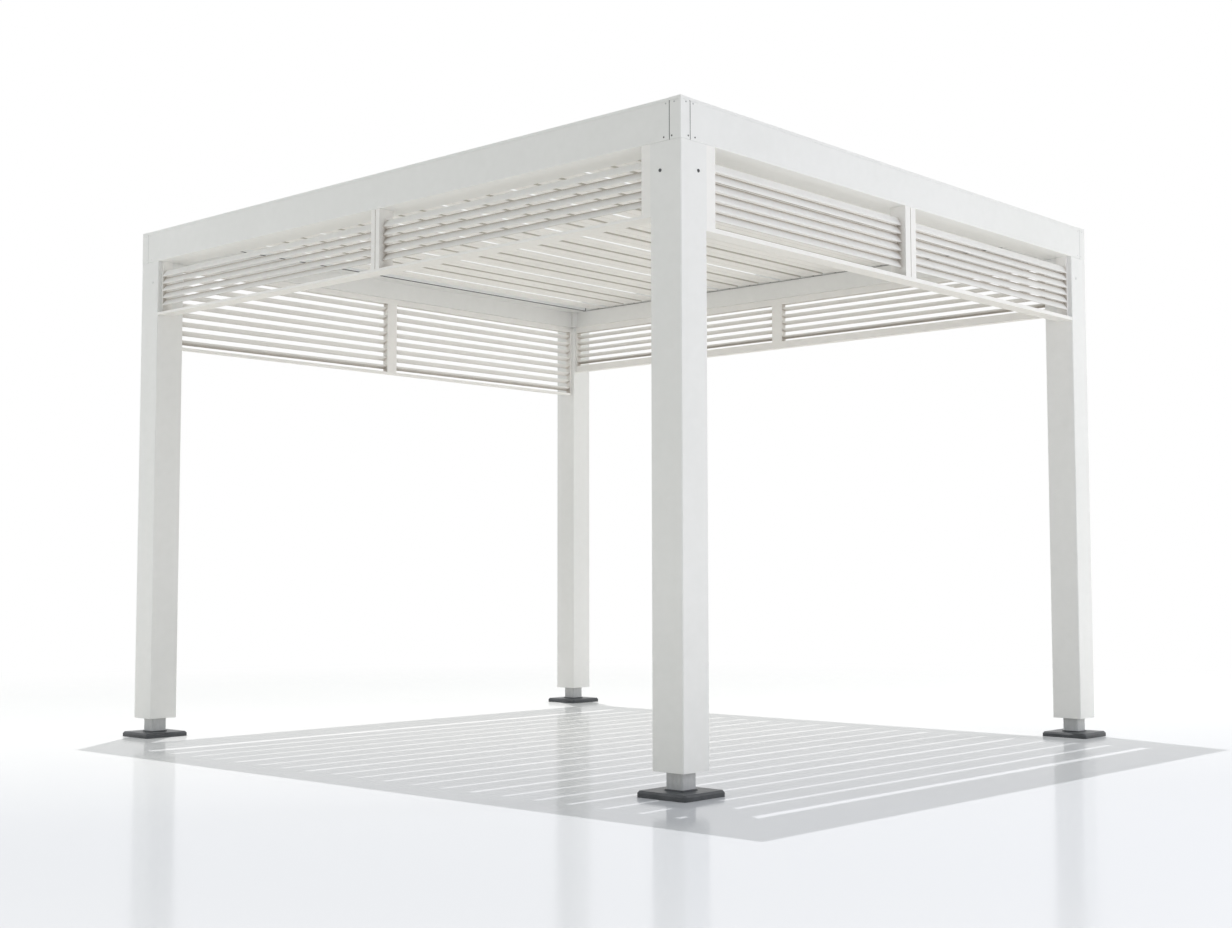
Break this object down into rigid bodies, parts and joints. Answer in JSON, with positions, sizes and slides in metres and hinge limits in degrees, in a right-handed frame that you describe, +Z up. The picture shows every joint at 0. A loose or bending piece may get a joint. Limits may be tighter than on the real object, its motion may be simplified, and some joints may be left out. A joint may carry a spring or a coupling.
{
  "type": "louvered pergola",
  "caption": "Free-standing four-post pergola with a box-beam ring, louvred valances and turning roof blades.",
  "frame": {"origin": "on the ground at the middle of the plan", "axes": "+X along the front from left to right, +Y from the front to the back, +Z up"},
  "size_m": [3.203, 3.613, 2.5],
  "materials": {
    "frame_coat": "satin white powder coat",
    "valance_coat": "satin white powder coat",
    "blade_coat": "satin white powder coat",
    "galvanised_steel": "dull galvanised",
    "dark_plate": "charcoal textured coat"
  },
  "bodies": {
    "frame": {"base_plate_front_left": "dark_plate", "foot_stub_front_left": "galvanised_steel", "post_front_left": "frame_coat", "corner_block_front_left": "frame_coat", "base_plate_front_right": "dark_plate", "foot_stub_front_right": "galvanised_steel", "post_front_right": "frame_coat", "corner_block_front_right": "frame_coat", "base_plate_back_right": "dark_plate", "foot_stub_back_right": "galvanised_steel", "post_back_right": "frame_coat", "corner_block_back_right": "frame_coat", "base_plate_back_left": "dark_plate", "foot_stub_back_left": "galvanised_steel", "post_back_left": "frame_coat", "corner_block_back_left": "frame_coat", "beam_front": "frame_coat", "valance_front": "valance_coat", "beam_right": "frame_coat", "valance_right": "valance_coat", "beam_back": "frame_coat", "valance_back": "valance_coat", "beam_left": "frame_coat", "valance_left": "valance_coat", "ledge_front": "frame_coat", "ledge_back": "frame_coat"},
    "blade_01": {"roof_blade_01": "blade_coat"},
    "blade_02": {"roof_blade_02": "blade_coat"},
    "blade_03": {"roof_blade_03": "blade_coat"},
    "blade_04": {"roof_blade_04": "blade_coat"},
    "blade_05": {"roof_blade_05": "blade_coat"},
    "blade_06": {"roof_blade_06": "blade_coat"},
    "blade_07": {"roof_blade_07": "blade_coat"},
    "blade_08": {"roof_blade_08": "blade_coat"},
    "blade_09": {"roof_blade_09": "blade_coat"},
    "blade_10": {"roof_blade_10": "blade_coat"},
    "blade_11": {"roof_blade_11": "blade_coat"},
    "blade_12": {"roof_blade_12": "blade_coat"},
    "blade_13": {"roof_blade_13": "blade_coat"},
    "blade_14": {"roof_blade_14": "blade_coat"},
    "blade_15": {"roof_blade_15": "blade_coat"},
    "blade_16": {"roof_blade_16": "blade_coat"},
    "blade_17": {"roof_blade_17": "blade_coat"},
    "blade_18": {"roof_blade_18": "blade_coat"},
    "blade_19": {"roof_blade_19": "blade_coat"},
    "blade_20": {"roof_blade_20": "blade_coat"}
  },
  "joints": [
    {"name": "blade_01_turn", "type": "hinge", "parent": "frame", "child": "blade_01", "pos_m": [0, -1.406, 2.449], "axis": [1, 0, 0], "range_deg": [-2, 88]},
    {"name": "blade_02_turn", "type": "hinge", "parent": "frame", "child": "blade_02", "pos_m": [0, -1.258, 2.449], "axis": [1, 0, 0], "range_deg": [-2, 88]},
    {"name": "blade_03_turn", "type": "hinge", "parent": "frame", "child": "blade_03", "pos_m": [0, -1.11, 2.449], "axis": [1, 0, 0], "range_deg": [-2, 88]},
    {"name": "blade_04_turn", "type": "hinge", "parent": "frame", "child": "blade_04", "pos_m": [0, -0.962, 2.449], "axis": [1, 0, 0], "range_deg": [-2, 88]},
    {"name": "blade_05_turn", "type": "hinge", "parent": "frame", "child": "blade_05", "pos_m": [0, -0.814, 2.449], "axis": [1, 0, 0], "range_deg": [-2, 88]},
    {"name": "blade_06_turn", "type": "hinge", "parent": "frame", "child": "blade_06", "pos_m": [0, -0.666, 2.449], "axis": [1, 0, 0], "range_deg": [-2, 88]},
    {"name": "blade_07_turn", "type": "hinge", "parent": "frame", "child": "blade_07", "pos_m": [0, -0.518, 2.449], "axis": [1, 0, 0], "range_deg": [-2, 88]},
    {"name": "blade_08_turn", "type": "hinge", "parent": "frame", "child": "blade_08", "pos_m": [0, -0.37, 2.449], "axis": [1, 0, 0], "range_deg": [-2, 88]},
    {"name": "blade_09_turn", "type": "hinge", "parent": "frame", "child": "blade_09", "pos_m": [0, -0.222, 2.449], "axis": [1, 0, 0], "range_deg": [-2, 88]},
    {"name": "blade_10_turn", "type": "hinge", "parent": "frame", "child": "blade_10", "pos_m": [0, -0.074, 2.449], "axis": [1, 0, 0], "range_deg": [-2, 88]},
    {"name": "blade_11_turn", "type": "hinge", "parent": "frame", "child": "blade_11", "pos_m": [0, 0.074, 2.449], "axis": [1, 0, 0], "range_deg": [-2, 88]},
    {"name": "blade_12_turn", "type": "hinge", "parent": "frame", "child": "blade_12", "pos_m": [0, 0.222, 2.449], "axis": [1, 0, 0], "range_deg": [-2, 88]},
    {"name": "blade_13_turn", "type": "hinge", "parent": "frame", "child": "blade_13", "pos_m": [0, 0.37, 2.449], "axis": [1, 0, 0], "range_deg": [-2, 88]},
    {"name": "blade_14_turn", "type": "hinge", "parent": "frame", "child": "blade_14", "pos_m": [0, 0.518, 2.449], "axis": [1, 0, 0], "range_deg": [-2, 88]},
    {"name": "blade_15_turn", "type": "hinge", "parent": "frame", "child": "blade_15", "pos_m": [0, 0.666, 2.449], "axis": [1, 0, 0], "range_deg": [-2, 88]},
    {"name": "blade_16_turn", "type": "hinge", "parent": "frame", "child": "blade_16", "pos_m": [0, 0.814, 2.449], "axis": [1, 0, 0], "range_deg": [-2, 88]},
    {"name": "blade_17_turn", "type": "hinge", "parent": "frame", "child": "blade_17", "pos_m": [0, 0.962, 2.449], "axis": [1, 0, 0], "range_deg": [-2, 88]},
    {"name": "blade_18_turn", "type": "hinge", "parent": "frame", "child": "blade_18", "pos_m": [0, 1.11, 2.449], "axis": [1, 0, 0], "range_deg": [-2, 88]},
    {"name": "blade_19_turn", "type": "hinge", "parent": "frame", "child": "blade_19", "pos_m": [0, 1.258, 2.449], "axis": [1, 0, 0], "range_deg": [-2, 88]},
    {"name": "blade_20_turn", "type": "hinge", "parent": "frame", "child": "blade_20", "pos_m": [0, 1.406, 2.449], "axis": [1, 0, 0], "range_deg": [-2, 88]}
  ],
  "couplings": [
    {"joint": "blade_02_turn", "follows": "blade_01_turn", "ratio": 1},
    {"joint": "blade_03_turn", "follows": "blade_01_turn", "ratio": 1},
    {"joint": "blade_04_turn", "follows": "blade_01_turn", "ratio": 1},
    {"joint": "blade_05_turn", "follows": "blade_01_turn", "ratio": 1},
    {"joint": "blade_06_turn", "follows": "blade_01_turn", "ratio": 1},
    {"joint": "blade_07_turn", "follows": "blade_01_turn", "ratio": 1},
    {"joint": "blade_08_turn", "follows": "blade_01_turn", "ratio": 1},
    {"joint": "blade_09_turn", "follows": "blade_01_turn", "ratio": 1},
    {"joint": "blade_10_turn", "follows": "blade_01_turn", "ratio": 1},
    {"joint": "blade_11_turn", "follows": "blade_01_turn", "ratio": 1},
    {"joint": "blade_12_turn", "follows": "blade_01_turn", "ratio": 1},
    {"joint": "blade_13_turn", "follows": "blade_01_turn", "ratio": 1},
    {"joint": "blade_14_turn", "follows": "blade_01_turn", "ratio": 1},
    {"joint": "blade_15_turn", "follows": "blade_01_turn", "ratio": 1},
    {"joint": "blade_16_turn", "follows": "blade_01_turn", "ratio": 1},
    {"joint": "blade_17_turn", "follows": "blade_01_turn", "ratio": 1},
    {"joint": "blade_18_turn", "follows": "blade_01_turn", "ratio": 1},
    {"joint": "blade_19_turn", "follows": "blade_01_turn", "ratio": 1},
    {"joint": "blade_20_turn", "follows": "blade_01_turn", "ratio": 1}
  ]
}
